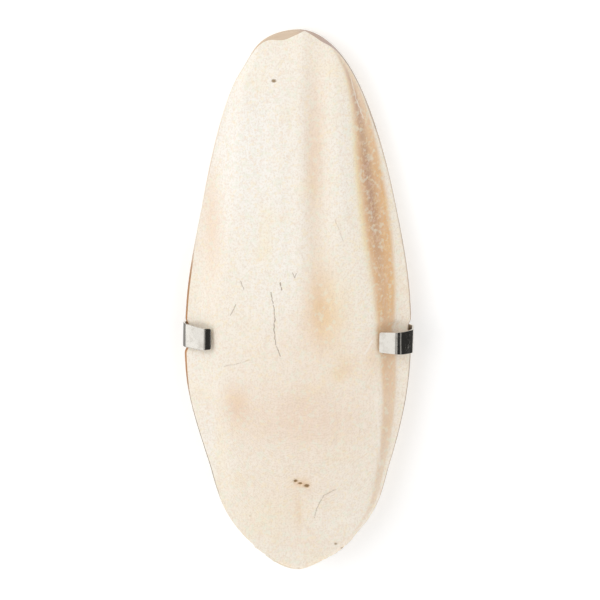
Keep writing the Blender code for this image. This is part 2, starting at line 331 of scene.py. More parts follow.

# %% [markdown]
# Near the tail the layers of chalk end one behind the other, and their edges show as fine growth
# lines: arches over the pits, and arms that climb at both sides. One number, the growth level,
# says which line a point is on. Its whole steps are the lines, so the relief and the colour both
# read it and stay in step. The colour darkens each groove as painted shade.

# %% Growth lines and slow unevenness
LINE_SPACING = 0.68 * MM
LINE_ARCH = 1.5 * MM
PIT_ARCH = 2.2 * MM
ARCH_BREADTH = 4.4 * MM
ARM_START = 7.0 * MM
ARM_SLOPE = 1.1
ARM_EASE = 1.5 * MM
LINES_FRONT = -12.0 * MM
LINES_FRONT_EASE = 14.0 * MM
LINES_BACK = -58.0 * MM
LINES_BACK_EASE = 8.0 * MM
PITS_Y = -46.0 * MM
WANDER = 0.40 * MM


def uneven(x, y, size, seed):
    """Slow random waves of about the given size, between -1 and 1."""
    draw = np.random.default_rng(seed)
    waves = 14
    total = np.zeros_like(x)
    for turn, stretch, phase in draw.uniform(0.0, 1.0, (waves, 3)):
        rate = 2 * math.pi / (size * (0.7 + 0.8 * stretch))
        heading = 2 * math.pi * turn
        total += np.sin(rate * (x * math.cos(heading) + y * math.sin(heading)) + 2 * math.pi * phase)
    return np.clip(total / math.sqrt(2.0 * waves), -1.0, 1.0)


def growth_level(x, y):
    """Which growth line a point is on, as a length along the middle of the bone."""
    arch = (LINE_ARCH + PIT_ARCH * bump(y - PITS_Y, 9.0 * MM)) * bump(x, ARCH_BREADTH)
    arms = ARM_SLOPE * ARM_EASE * np.logaddexp(0.0, (np.abs(x) - ARM_START) / ARM_EASE)
    wander = WANDER * uneven(x, y, 6.0 * MM, 11) + WANDER / 2 * uneven(x, y, 2.2 * MM, 12)
    return y - arch - arms + wander


def line_strength(x, y, drop):
    """How clearly the growth lines show at a point, 0 to 1."""
    front = eased((LINES_FRONT - y - 0.35 * np.abs(x)) / LINES_FRONT_EASE)
    back = eased((y - LINES_BACK) / LINES_BACK_EASE)
    return front * back * (1.0 - eased(drop * 2.0))


print("growth lines about", round((LINES_FRONT - LINES_BACK) / LINE_SPACING))

# %% [markdown]
# A mesh for such a shape could be a UV sphere pressed flat, but its poles would pinch at both
# ends. Here a square grid is eased into the outline, so there is no pole. The rows stand closer
# where the growth lines are. The chalk and the back get grids of their own fineness, and a
# narrow wall with a zip of triangles joins them into one closed skin.

# %% Grids inside the outline
CHALK_COLUMNS = 150
CHALK_ROWS = 420
BACK_COLUMNS = 112
BACK_ROWS = 236
LINES_PLACE = -0.52
LINES_REACH = 0.30
LINES_CROWDING = 0.9
WALL_STEPS = 4
EDGE_INSET = 0.25 * MM
LEFT_RIM_INSET = 0.22 * MM
CUT_FADE_POWER = 10
HEAD_CUTS = (
    (1.75 * MM, -3.6 * MM, 3.4 * MM),
    (0.75 * MM, 5.6 * MM, 2.2 * MM),
    (-0.45 * MM, 1.5 * MM, 1.0 * MM),
)


def crowded(count, crowding):
    """Steps from -1 to 1, closer together where the growth lines are."""
    spot = np.linspace(-1.0, 1.0, 2001)
    gathered = np.cumsum(1.0 + crowding * bump(spot - LINES_PLACE, LINES_REACH))
    return np.interp(np.linspace(gathered[0], gathered[-1], count + 1), gathered, spot)


def outline_share(across, along):
    """Share across and place along the length for a spot of the square grid."""
    place = along * np.sqrt(1.0 - across * across / 2)
    chord = np.sqrt(np.maximum(1.0 - place * place, 1e-12))
    share = np.clip(across * np.sqrt(1.0 - along * along / 2) / chord, -1.0, 1.0)
    return share, place


def left_rim(y):
    """Where the horny rim on the left is broad, 0 to 1."""
    return eased((14.0 * MM - y) / (6.0 * MM)) * eased((y + 26.0 * MM) / (10.0 * MM))


def back_points(across, along):
    """Points of the back's outer face."""
    share, place = outline_share(across, along)
    x = share * half_width(place, share > 0)
    return np.stack([x, length_at(place), back_height(np.abs(share), place)], axis=-1)


def chalk_points(across, along):
    """Points of the chalk's face with its marks, and how dark each one is."""
    share, place = outline_share(across, along)
    x = share * half_width(place, share > 0)
    y = length_at(place)
    cut = sum(depth * bump(x - cut_x, breadth) for depth, cut_x, breadth in HEAD_CUTS)
    inset = EDGE_INSET + LEFT_RIM_INSET * left_rim(y) * (across < 0)
    chalk_x = x - inset * across * np.abs(across) ** CUT_FADE_POWER
    chalk_y = y - EDGE_INSET * along * np.abs(along) ** CUT_FADE_POWER
    chalk_y -= cut * np.clip(along, 0.0, 1.0) ** CUT_FADE_POWER
    height = chalk_height(x, np.abs(share), place)
    depth, dark = marks(chalk_x, chalk_y)
    inside = 1.0 - np.maximum(np.abs(across), np.abs(along)) ** 8
    rough = 0.10 * MM * (1.0 + uneven(x, y, 9.0 * MM, 21)) + 0.03 * MM * (1.0 + uneven(x, y, 3.0 * MM, 22))
    streaks = 0.020 * MM * (1.0 + uneven(share * 60 * MM, y / 14, 4.0 * MM, 23))
    height -= (depth + rough + streaks) * inside
    return np.stack([chalk_x, chalk_y, height], axis=-1), dark


print("chalk grid", CHALK_COLUMNS, "x", CHALK_ROWS, "back grid", BACK_COLUMNS, "x", BACK_ROWS)

# %% [markdown]
# Now the skin is put together: the grid of chalk, the wall that runs round its border, and the
# grid of the back, seen from below. Every point also keeps what the finishes will need later,
# such as its growth level, as named attributes. Attributes travel with the mesh into the
# geometry nodes and the shader, where a second set of rules for the same places would be a risk.

# %% Build the bone's skin


def grid_faces(first, rows, columns, upward):
    """Four-sided faces of a grid of points, which look up or down."""
    faces = []
    for row in range(rows):
        start = first + row * (columns + 1)
        for corner in range(start, start + columns):
            face = (corner, corner + 1, corner + columns + 2, corner + columns + 1)
            faces.append(face if upward else face[::-1])
    return faces


def border_path(rows, columns):
    """Grid indices once round the border, anticlockwise from above, with a running mark on each."""
    wide = columns + 1
    path = list(range(columns))
    path += [row * wide + columns for row in range(rows)]
    path += [rows * wide + column for column in range(columns, 0, -1)]
    path += [row * wide for row in range(rows, 0, -1)]
    return path


def border_marks(across, along, path):
    """A number from 0 to 4 for each border point, which grows round the square."""
    side_x = across.ravel()[path]
    side_y = along.ravel()[path]
    rounds = np.zeros(len(path))
    for index, (x, y) in enumerate(zip(side_x, side_y)):
        if y == -1.0 and x < 1.0:
            rounds[index] = (x + 1.0) / 2
        elif x == 1.0 and y < 1.0:
            rounds[index] = 1.0 + (y + 1.0) / 2
        elif y == 1.0 and x > -1.0:
            rounds[index] = 2.0 + (1.0 - x) / 2
        else:
            rounds[index] = 3.0 + (1.0 - y) / 2
    return rounds


def zip_loops(upper, upper_marks, lower, lower_marks):
    """Triangles between two closed loops, stepping along whichever is behind."""
    faces = []
    i = 0
    j = 0
    upper_ends = np.append(upper_marks[1:], 4.0)
    lower_ends = np.append(lower_marks[1:], 4.0)
    while i < len(upper) or j < len(lower):
        here_up = upper[i % len(upper)]
        here_low = lower[j % len(lower)]
        if j == len(lower) or (i < len(upper) and upper_ends[i] <= lower_ends[j]):
            faces.append((here_up, here_low, upper[(i + 1) % len(upper)]))
            i += 1
        else:
            faces.append((here_up, here_low, lower[(j + 1) % len(lower)]))
            j += 1
    return faces


def build_skin():
    """All points, faces and per-point facts of the bone, in its level frame."""
    chalk_across, chalk_along = np.meshgrid(np.linspace(-1, 1, CHALK_COLUMNS + 1), crowded(CHALK_ROWS, LINES_CROWDING))
    back_across, back_along = np.meshgrid(np.linspace(-1, 1, BACK_COLUMNS + 1), np.linspace(-1, 1, BACK_ROWS + 1))
    chalk, dark = chalk_points(chalk_across, chalk_along)
    back = back_points(back_across, back_along)
    chalk_path = border_path(CHALK_ROWS, CHALK_COLUMNS)
    back_path = border_path(BACK_ROWS, BACK_COLUMNS)
    top = chalk.reshape(-1, 3)[chalk_path]
    foot = back_points(chalk_across.ravel()[chalk_path], chalk_along.ravel()[chalk_path])
    shares = np.arange(1, WALL_STEPS) / WALL_STEPS
    walls = []
    for share in shares:
        ring = top + (foot - top) * share
        ring[:, :2] = top[:, :2] + (foot[:, :2] - top[:, :2]) * (1.0 - (1.0 - share) ** 2)
        walls.append(ring)
    points = np.concatenate([chalk.reshape(-1, 3)] + walls + [back.reshape(-1, 3)])
    chalk_count = chalk.shape[0] * chalk.shape[1]
    ring_size = len(chalk_path)
    faces = grid_faces(0, CHALK_ROWS, CHALK_COLUMNS, True)
    chalk_faces = len(faces)
    ring = list(chalk_path)
    for step in range(len(walls)):
        following = [chalk_count + step * ring_size + k for k in range(ring_size)]
        for k in range(ring_size):
            after = (k + 1) % ring_size
            faces.append((ring[k], following[k], following[after], ring[after]))
        ring = following
    back_first = chalk_count + len(walls) * ring_size
    back_loop = [back_first + index for index in back_path]
    rounds = border_marks(chalk_across, chalk_along, chalk_path)
    faces += zip_loops(ring, rounds, back_loop, border_marks(back_across, back_along, back_path))
    wall_faces = len(faces) - chalk_faces
    faces += grid_faces(back_first, BACK_ROWS, BACK_COLUMNS, False)
    across = np.concatenate([chalk_across.ravel(), np.tile(chalk_across.ravel()[chalk_path], len(walls)),
                             back_across.ravel()])
    along = np.concatenate([chalk_along.ravel(), np.tile(chalk_along.ravel()[chalk_path], len(walls)),
                            back_along.ravel()])
    layer = np.repeat([0.0, 0.5, 1.0], [chalk_count, len(walls) * ring_size, back_across.size])
    spots = {"across": across, "along": along, "layer": layer, "dark": np.pad(dark.ravel(), (0, len(points) - dark.size))}
    return points, faces, (chalk_faces, wall_faces), spots


skin_points, skin_faces, face_counts, spots = build_skin()
print("points", len(skin_points), "faces", len(skin_faces), "chalk and wall faces", face_counts)

# %% [markdown]
# The chalk isn't one colour. It is cream with lemon and orange stains, whiter towards the head on
# the left and tan and rosy on the right flank; the whiter left, which faces the lamp, is partly
# painted light, and the tan and rosy right, which faces away, is partly painted shade. Painting
# that by hand on a texture would tie it to an image. Instead each tone has a few soft patches with
# a place and a reach in mm, and their sum becomes an attribute that the shader mixes in.

# %% Facts that the finishes read
# The pale patches on the left lie where the chalk faces the lamp and are partly painted light; the orange and rosy
# patches in the hollow right of the crest, and the orange ones on the right flange, lie on slopes turned away from it
# and are partly painted shade.
TONES_WITH_LIGHT_AND_SHADE = {
    "pale": (
        (1.00, -13.0, 40.0, 15.0, 26.0),
        (0.60, -5.0, 8.0, 8.0, 16.0),
        (0.45, 10.5, 34.0, 3.0, 18.0),
        (0.75, -21.0, -33.0, 3.6, 14.0),
        (0.50, -25.5, -12.0, 2.5, 9.0),
        (0.35, 10.0, -54.0, 8.0, 6.0),
    ),
    "lemon": (
        (0.55, 8.0, -1.0, 4.0, 9.0),
        (0.70, 9.9, -17.8, 1.9, 1.9),
        (0.45, 3.6, -21.5, 3.6, 1.8),
        (0.30, -19.6, -36.0, 1.6, 12.0),
        (0.22, -6.0, -54.0, 9.0, 5.0),
        (0.30, -8.0, 17.0, 2.0, 8.0),
    ),
    "rosy": (
        (0.80, 1.0, -29.0, 17.0, 9.0),
        (0.30, 0.0, -48.0, 15.0, 9.0),
        (0.30, 2.0, -12.0, 14.0, 10.0),
        (0.50, 4.0, 42.0, 2.6, 16.0),
        (0.35, 1.5, -61.5, 7.0, 3.0),
        (0.55, -16.0, -25.0, 3.0, 5.0),
        (0.40, -21.5, 18.0, 2.6, 12.0),
    ),
    "orange": (
        (0.26, 4.0, 34.0, 2.2, 20.0),
        (0.40, 5.0, 3.0, 3.4, 10.0),
        (0.30, 6.5, -4.0, 5.0, 8.0),
        (0.20, -21.8, 22.0, 2.2, 12.0),
        (0.55, 0.9, -46.2, 2.0, 1.4),
        (0.28, 0.0, -54.0, 1.1, 4.5),
        (0.30, 12.5, -16.0, 3.0, 3.0),
        (0.30, 18.5, -14.0, 2.2, 5.0),
        (0.22, -14.5, -27.0, 2.6, 5.0),
    ),
}
# Along the right flank, which faces away from the lamp, the orange is partly the flank's own colour and partly painted
# shade, and the umber is painted shade.
BAND_PLACE, BAND_ORANGE_AND_SHADE, BAND_UMBER_SHADE, BAND_LEMON = np.transpose([
    (-1.00, 0.00, 0.00, 0.00),
    (-0.75, 0.25, 0.10, 0.00),
    (-0.55, 0.40, 0.15, 0.00),
    (-0.35, 0.55, 0.10, 0.00),
    (-0.15, 0.75, 0.10, 0.20),
    (0.10, 0.95, 0.30, 0.50),
    (0.35, 1.00, 0.75, 0.90),
    (0.60, 0.80, 0.70, 0.70),
    (0.80, 0.50, 0.55, 0.40),
    (0.93, 0.20, 0.20, 0.10),
    (1.00, 0.00, 0.00, 0.00),
])
RIM_PLACE, LEFT_AMBER, LEFT_INK, RIGHT_AMBER, RIGHT_INK = np.transpose([
    (-1.00, 0.00, 0.20, 0.10, 0.25),
    (-0.75, 0.00, 0.20, 0.15, 0.35),
    (-0.66, 0.00, 0.95, 0.20, 0.35),
    (-0.42, 0.10, 1.00, 0.40, 0.60),
    (-0.32, 0.85, 0.40, 0.40, 0.60),
    (0.10, 1.00, 0.30, 0.40, 0.35),
    (0.18, 0.30, 0.25, 0.20, 0.40),
    (0.50, 0.20, 0.10, 0.20, 0.25),
    (0.75, 0.00, 0.05, 0.40, 0.50),
    (1.00, 0.00, 0.25, 0.20, 0.60),
])
GRANULES_EDGE = 0.90


def tone(name, x, y):
    """How strong a tone is at points in the plan, 0 to 1."""
    total = np.zeros_like(x)
    for strength, patch_x, patch_y, reach_x, reach_y in TONES_WITH_LIGHT_AND_SHADE[name]:
        total += strength * bump(x - patch_x * MM, reach_x * MM) * bump(y - patch_y * MM, reach_y * MM)
    return np.clip(total, 0.0, 1.0)


def rim_tone(left, right, place, is_right):
    """Strength of a rim tone, from its values along each side."""
    return np.where(is_right, through(RIM_PLACE, right, place), through(RIM_PLACE, left, place))


def right_flank_tones_and_shade(reach, place, right):
    """Orange, umber and lemon strengths across the right flank, which faces away from the lamp: the umber is painted
    shade, and the orange is partly the flank's own colour and partly painted shade.
    """
    spread = eased((reach + 0.05) / 0.25) * (1.0 - eased((reach - 0.80) / 0.22))
    orange = right * spread * through(BAND_PLACE, BAND_ORANGE_AND_SHADE, place)
    umber_shade = right * bump(reach - 0.38, 0.20) * through(BAND_PLACE, BAND_UMBER_SHADE, place)
    lemon = right * bump(reach - 0.02, 0.12) * through(BAND_PLACE, BAND_LEMON, place)
    return orange, umber_shade, lemon


def point_facts():
    """Named attribute values for every point of the bone."""
    across = spots["across"]
    along = spots["along"]
    layer = spots["layer"]
    share, place = outline_share(across, along)
    x = share * half_width(place, share > 0)
    y = length_at(place)
    right = share > 0
    reach = flank_reach(np.abs(share), place, right)[0]
    edge = np.maximum(np.abs(across), np.abs(along))
    # the right flank's painted shade: the umber tone, and part of the orange
    orange, umber_shade, lemon = right_flank_tones_and_shade(reach, place, right)
    facts = {name: tone(name, x, y) for name in TONES_WITH_LIGHT_AND_SHADE}
    facts["orange"] = np.clip(facts["orange"] + orange, 0.0, 1.0)
    facts["lemon"] = np.clip(facts["lemon"] + lemon, 0.0, 1.0)
    facts["umber_shade"] = umber_shade
    facts["growth"] = growth_level(x, y)
    facts["lines"] = line_strength(x, y, flank_drop(reach)) * (layer < 0.25)
    facts["granules"] = (layer > 0.75) * eased((GRANULES_EDGE - edge) / 0.12)
    facts["horn"] = np.where(layer > 0.75, eased((edge - GRANULES_EDGE) / 0.08), 1.0)
    facts["amber"] = rim_tone(LEFT_AMBER, RIGHT_AMBER, place, right)
    facts["ink"] = rim_tone(LEFT_INK, RIGHT_INK, place, right)
    facts["head_wall"] = eased((place - 0.90) / 0.04) * (layer < 0.75)
    # the head wall is painted greyer towards its right side, as shade
    facts["right_side"] = eased((x / MM + 1.0) / 3.0)
    facts["dark"] = spots["dark"]
    return facts


facts = point_facts()
print("attributes", sorted(facts))

# %% [markdown]
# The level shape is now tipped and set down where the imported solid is. The tilt is the angle at
# which such a bone rests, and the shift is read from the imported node's box, so the fine mesh
# lands on the solid without any number for its place.

# %% Set the bone down
REST_TURN = Matrix.Rotation(-REST_TILT, 4, "X")


def resting_shift():
    """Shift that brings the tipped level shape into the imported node's box."""
    turned = skin_points @ np.array(REST_TURN.to_3x3()).T
    low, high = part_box("cuttlebone")
    return Vector([(low[i] + high[i] - turned[:, i].min() - turned[:, i].max()) / 2 for i in range(3)])


REST_PLACE = Matrix.Translation(resting_shift()) @ REST_TURN


def base_mesh():
    """The smooth bone as a mesh with its attributes, before the finest relief."""
    mesh = bpy.data.meshes.new("bone base")
    mesh.from_pydata(skin_points.tolist(), [], skin_faces)
    mesh.transform(REST_PLACE)
    for name, values in facts.items():
        mesh.attributes.new(name, "FLOAT", "POINT").data.foreach_set("value", values.astype(np.float32))
    plan = skin_points * (1.0, 1.0, 0.0)
    mesh.attributes.new("plan", "FLOAT_VECTOR", "POINT").data.foreach_set("vector", plan.ravel())
    chalk_faces, wall_faces = face_counts
    hard = np.arange(len(mesh.polygons)) >= chalk_faces
    mesh.attributes.new("hard", "BOOLEAN", "FACE").data.foreach_set("value", hard)
    mesh.shade_smooth()
    return mesh


bone_base = base_mesh()
print("shift in mm", [round(value / MM, 3) for value in REST_PLACE.translation])

# %% [markdown]
# Node trees are easier to read as sums than as boxes and lines. The small class below wraps one
# output socket, so that 1 - mask or a * b adds the Math node for it. Every other node comes from
# one method: its settings go in first, because they can change which sockets it has.

# %% A wire that can stand in a sum


class Wire:
    """One output socket of a node tree, usable in arithmetic."""

    def __init__(self, tree, socket=None):
        self.tree = tree
        self.socket = socket

    def node(self, kind, settings=None, inputs=None, output=0):
        """Add a node: its settings first, then the values or wires of its sockets."""
        made = self.tree.nodes.new(kind)
        for name, value in (settings or {}).items():
            setattr(made, name, value)
        for name, value in (inputs or {}).items():
            if isinstance(value, Wire):
                self.tree.links.new(value.socket, made.inputs[name])
            else:
                made.inputs[name].default_value = value
        return Wire(self.tree, made.outputs[output] if made.outputs else None)

    def pick(self, name):
        """Another output of the same node."""
        return Wire(self.tree, self.socket.node.outputs[name])

    def calc(self, operation, *terms):
        """A Math node on the given terms."""
        return self.node("ShaderNodeMath", {"operation": operation}, dict(enumerate(terms)))

    def __add__(self, other):
        return self.calc("ADD", self, other)

    def __mul__(self, other):
        return self.calc("MULTIPLY", self, other)

    def __sub__(self, other):
        return self.calc("SUBTRACT", self, other)

    def __rsub__(self, other):
        return self.calc("SUBTRACT", other, self)

    def __truediv__(self, other):
        return self.calc("DIVIDE", self, other)

    def __rtruediv__(self, other):
        return self.calc("DIVIDE", other, self)

    def __pow__(self, other):
        return self.calc("POWER", self, other)

    __radd__ = __add__
    __rmul__ = __mul__


def within(wire, low, high):
    """0 below low, 1 above high, and a smooth step between them."""
    settings = {"interpolation_type": "SMOOTHSTEP"}
    return wire.node("ShaderNodeMapRange", settings, {"Value": wire, "From Min": low, "From Max": high})


print("wires are ready")

# %% [markdown]
# The finest relief repeats: hundreds of growth ribs across the chalk, and thousands of granules
# over the shield. Both follow the surface, so geometry nodes press them in along the normal. The
# ribs read the growth level, and the granules come from a cell pattern whose borders are the
# grooves. Everything is pressed inwards, which keeps the bone inside its packed box.

# %% Geometry nodes for ribs and granules
RELIEF_SIZES = {
    "Rib Spacing": LINE_SPACING,
    "Rib Depth": 0.022 * MM,
    "Granule Size": 1.5 * MM,
    "Granule Depth": 0.16 * MM,
    "Grain Size": 0.8 * MM,
    "Grain Depth": 0.05 * MM,
}


def new_tree(name, sizes, materials):
    """A geometry tree with named inputs, and wires for its start."""
    tree = bpy.data.node_groups.new(name, "GeometryNodeTree")
    tree.interface.new_socket("Geometry", in_out="INPUT", socket_type="NodeSocketGeometry")
    for size in sizes:
        tree.interface.new_socket(size, in_out="INPUT", socket_type="NodeSocketFloat")
    for material in materials:
        tree.interface.new_socket(material, in_out="INPUT", socket_type="NodeSocketMaterial")
    tree.interface.new_socket("Geometry", in_out="OUTPUT", socket_type="NodeSocketGeometry")
    return tree, Wire(tree).node("NodeGroupInput")


def attribute(wire, name, kind="FLOAT"):
    """A named attribute inside a geometry tree."""
    return wire.node("GeometryNodeInputNamedAttribute", {"data_type": kind}, {"Name": name})


def relief_tree():
    """Press ribs, granules and grain into a surface along its normal."""
    tree, start = new_tree("fine relief", RELIEF_SIZES, ("Chalk", "Shield"))
    size = {name: start.pick(name) for name in RELIEF_SIZES}
    turns = attribute(start, "growth") / size["Rib Spacing"] * (2 * math.pi)
    rib = (0.5 + 0.5 * start.calc("SINE", turns)) * attribute(start, "lines") * size["Rib Depth"]
    cells = start.node("ShaderNodeTexVoronoi", {"feature": "SMOOTH_F1"},
                       {"Scale": 1.0 / size["Granule Size"], "Smoothness": 0.35})
    granule = within(cells, 0.15, 0.75) * attribute(start, "granules") * size["Granule Depth"]
    grain = start.node("ShaderNodeTexNoise", None, {"Scale": 1.0 / size["Grain Size"], "Detail": 2.0})
    press = rib + granule + grain * size["Grain Depth"]
    normal = start.node("GeometryNodeInputNormal")
    offset = start.node("ShaderNodeVectorMath", {"operation": "SCALE"}, {0: normal, "Scale": 0.0 - press})
    pressed = start.node("GeometryNodeSetPosition", None, {"Geometry": start, "Offset": offset})
    whole = start.node("GeometryNodeRealizeInstances", None, {"Geometry": pressed})
    chalked = start.node("GeometryNodeSetMaterial", None, {"Geometry": whole, "Material": start.pick("Chalk")})
    dressed = start.node("GeometryNodeSetMaterial", None, {
        "Geometry": chalked,
        "Selection": attribute(start, "hard", "BOOLEAN"),
        "Material": start.pick("Shield"),
    })
    start.node("NodeGroupOutput", None, {"Geometry": dressed})
    return tree


def grown(name, mesh, tree, sizes):
    """Run a geometry tree on a mesh, and keep the result as a plain object."""
    source = bpy.data.objects.new(name + "_source", mesh)
    bpy.context.collection.objects.link(source)
    modifier = source.modifiers.new("grow", "NODES")
    modifier.node_group = tree
    for item in tree.interface.items_tree:
        if item.in_out == "INPUT" and item.name in sizes:
            modifier[item.identifier] = sizes[item.name]
    seen = source.evaluated_get(bpy.context.evaluated_depsgraph_get())
    result = bpy.data.meshes.new_from_object(seen)
    source.modifiers.remove(modifier)
    bpy.data.objects.remove(source)
    result.name = name
    piece = bpy.data.objects.new(name, result)
    bpy.context.collection.objects.link(piece)
    return piece


print("relief inputs", list(RELIEF_SIZES))

# %% [markdown]
# Chalk is matt and full of tiny pores, so nearly all of its look is colour and grain. A plain
# noise over everything reads as concrete. Here each finish mixes a few named tones by attributes,
# noise and masks, and the helpers below keep each of those steps down to one line.

# %% Helpers for finishes


def paint(red, green, blue):
    """A colour as seen on screen, 0 to 255, as the linear values that shaders use."""
    shares = [value / 255 for value in (red, green, blue)]
    return (*[(s / 12.92) if s <= 0.04045 else ((s + 0.055) / 1.055) ** 2.4 for s in shares], 1.0)


def new_finish(name):
    """A material with its Principled shader, and a wire to build from."""
    material = bpy.data.materials.new(name)
    material.use_nodes = True
    tree = material.node_tree
    return material, tree.nodes["Principled BSDF"], Wire(tree)


def fact(wire, name):
    """A named attribute inside a shader."""
    return wire.node("ShaderNodeAttribute", {"attribute_name": name}, None, "Fac")


def noise(wire, size, detail=3.0, stretch=(1.0, 1.0, 1.0), roughness=0.55):
    """Noise in the piece's own coordinates, with blobs of about the given size."""
    place = wire.node("ShaderNodeTexCoord", None, None, "Object")
    scaled = wire.node("ShaderNodeMapping", None, {"Vector": place, "Scale": [s / size for s in stretch]})
    inputs = {"Vector": scaled, "Scale": 1.0, "Detail": detail, "Roughness": roughness}
    return wire.node("ShaderNodeTexNoise", None, inputs)


def mixed(factor, first, second, blend="MIX"):
    """Two colours mixed by a factor."""
    settings = {"data_type": "RGBA", "blend_type": blend}
    return factor.node("ShaderNodeMix", settings, {0: factor, 6: first, 7: second}, 2)


def bumped(height, distance, strength=1.0, before=None):
    """A surface normal from a height, on top of an earlier one."""
    inputs = {"Height": height, "Distance": distance, "Strength": strength}
    if before:
        inputs["Normal"] = before
    return height.node("ShaderNodeBump", None, inputs)


def connect(wire, shader, name):
    """Feed one socket of the shader."""
    wire.tree.links.new(wire.socket, shader.inputs[name])


print("cream is", [round(value, 3) for value in paint(250, 240, 226)[:3]])

# %% [markdown]
# Drying opens hairline cracks in the chalk, and nails press thin lines into it. They are finer
# than any sensible mesh, so the shader finds them: each is a short run of points, and the distance
# to that run gives a dark line and a bump. Drawing them as strips of mesh would show steps.

# %% Hairline cracks
CRACKS = (
    (0.75, 0.20 * MM, ((-6.9, 4.0), (-6.1, 0.0), (-5.9, -2.8), (-6.1, -5.7), (-5.6, -9.6), (-4.5, -12.5))),
    (0.90, 0.24 * MM, ((-4.6, 6.5), (-4.2, 4.7))),
    (0.60, 0.20 * MM, ((-1.5, 9.1), (-0.9, 7.8), (-0.4, 9.0))),
    (0.55, 0.20 * MM, ((-15.6, 0.6), (-16.9, -2.2))),
    (0.30, 0.20 * MM, ((-18.6, -15.5), (-15.5, -14.9), (-12.4, -13.8))),
    (0.55, 0.20 * MM, ((-14.4, 6.6), (-13.6, 4.4))),
    (0.45, 0.22 * MM, ((9.4, -47.6), (6.4, -49.2), (4.6, -52.6), (4.0, -55.1))),
    (0.25, 0.22 * MM, ((9.1, 22.4), (11.1, 17.0))),
)
SCUFFS = (
    (0.60, 0.45 * MM, ((18.4, -8.9), (17.6, -10.6), (16.6, -12.2))),
    (0.80, 0.16 * MM, ((13.0, 57.4), (14.4, 52.0), (16.2, 47.0))),
    (0.35, 0.50 * MM, ((19.4, -24.5), (20.1, -33.0), (20.4, -42.0))),
)


def vector_calc(wire, operation, *terms, output=0):
    """A Vector Math node on the given terms."""
    return wire.node("ShaderNodeVectorMath", {"operation": operation}, dict(enumerate(terms)), output)


def distance_to_run(place, run):
    """Distance in the plan to a run of straight pieces, whose corners are in mm."""
    nearest = None
    for start, end in zip(run, run[1:]):
        first = Vector((*start, 0.0)) * MM
        reach = Vector((*end, 0.0)) * MM - first
        offset = vector_calc(place, "SUBTRACT", place, first)
        share = vector_calc(place, "DOT_PRODUCT", offset, reach / reach.length_squared, output="Value")
        share = place.calc("MINIMUM", place.calc("MAXIMUM", share, 0.0), 1.0)
        along = place.node("ShaderNodeVectorMath", {"operation": "SCALE"}, {0: reach, "Scale": share})
        distance = vector_calc(place, "DISTANCE", offset, along, output="Value")
        nearest = place.calc("MINIMUM", nearest, distance) if nearest else distance
    return nearest


def line_mask(place, lines):
    """How much a point lies on any of the given lines, 0 to 1."""
    mask = None
    for strength, breadth, run in lines:
        near = strength * (1.0 - within(distance_to_run(place, run), 0.1 * breadth, breadth))
        mask = place.calc("MAXIMUM", mask, near) if mask else near
    return mask


print("cracks", len(CRACKS), "scuffs", len(SCUFFS))

# %% [markdown]
# Now the chalk itself. Its tones come first, painted light and shade among them, broken up by
# slow noise, then the fine grain: a maze of tiny ripples, some of them tinted lemon, rosy or
# greenish. Growth lines with painted shade in their grooves, cracks, scuffs and pits darkened more
# where they are deeper go on top of that, in the order in which they came to the real bone.

# %% The chalk
CREAM = paint(250, 241, 227)
PALE = paint(252, 248, 241)
LEMON = paint(249, 230, 186)
ROSY = paint(243, 219, 199)
# the orange tone is partly the chalk's own colour and partly painted shade; the umber tone is painted shade
ORANGE = paint(236, 190, 140)
UMBER_SHADE = paint(186, 146, 126)
GREENISH = paint(238, 240, 222)
# a darker tone for the grain, and painted shade in the growth lines' grooves
GRAIN_DARK_AND_GROOVE_SHADE = paint(216, 196, 172)
CRACK_GREY = paint(150, 132, 112)
PIT_OLIVE = paint(140, 112, 66)
SCUFF_LIGHT = paint(254, 248, 240)
CHALK_ROUGHNESS = 0.88
CRACK_WANDER = 0.5 * MM


def toned_chalk(wire):
    """The chalk's colour from its slow tones, broken up by noise, with painted light and shade among the tones."""
    cloud = noise(wire, 7.0 * MM, 4.0)
    mottle = noise(wire, 1.8 * MM, 3.0)
    streak = noise(wire, 1.3 * MM, 3.0, (1.0, 0.08, 1.0))
    break_up = 0.30 + 0.7 * (cloud + mottle * 0.4 + streak * 0.6)
    # the pale tone is partly painted light on the left side, which faces the lamp
    colour = mixed(fact(wire, "pale") * break_up, CREAM, PALE)
    # on the right flank the umber tone is painted shade, and the orange and rosy tones are partly painted shade
    for name, tint in (("lemon", LEMON), ("rosy", ROSY), ("orange", ORANGE), ("umber_shade", UMBER_SHADE)):
        colour = mixed(fact(wire, name) * break_up, colour, tint)
    colour = mixed(within(streak, 0.55, 0.75) * 0.20, colour, ROSY)
    return mixed(within(cloud, 0.52, 0.70) * 0.18, colour, LEMON)


def speckled(wire, colour):
    """Fine grain over a colour, and the ripples that go with it."""
    ripple = noise(wire, 0.42 * MM, 1.0)
    thread = noise(wire, 0.42 * MM, 1.0, (1.0, 0.35, 1.0))
    colour = mixed(within(ripple, 0.47, 0.66) * 0.26, colour, GRAIN_DARK_AND_GROOVE_SHADE)
    colour = mixed(within(thread, 0.50, 0.68) * 0.18, colour, GRAIN_DARK_AND_GROOVE_SHADE)
    colour = mixed(within(noise(wire, 1.0 * MM, 2.0), 0.54, 0.66) * 0.30, colour, LEMON)
    colour = mixed(within(noise(wire, 1.2 * MM, 2.0), 0.54, 0.66) * 0.28, colour, ROSY)
    colour = mixed(within(noise(wire, 1.5 * MM, 2.0), 0.54, 0.66) * 0.40, colour, GREENISH)
    return colour, ripple


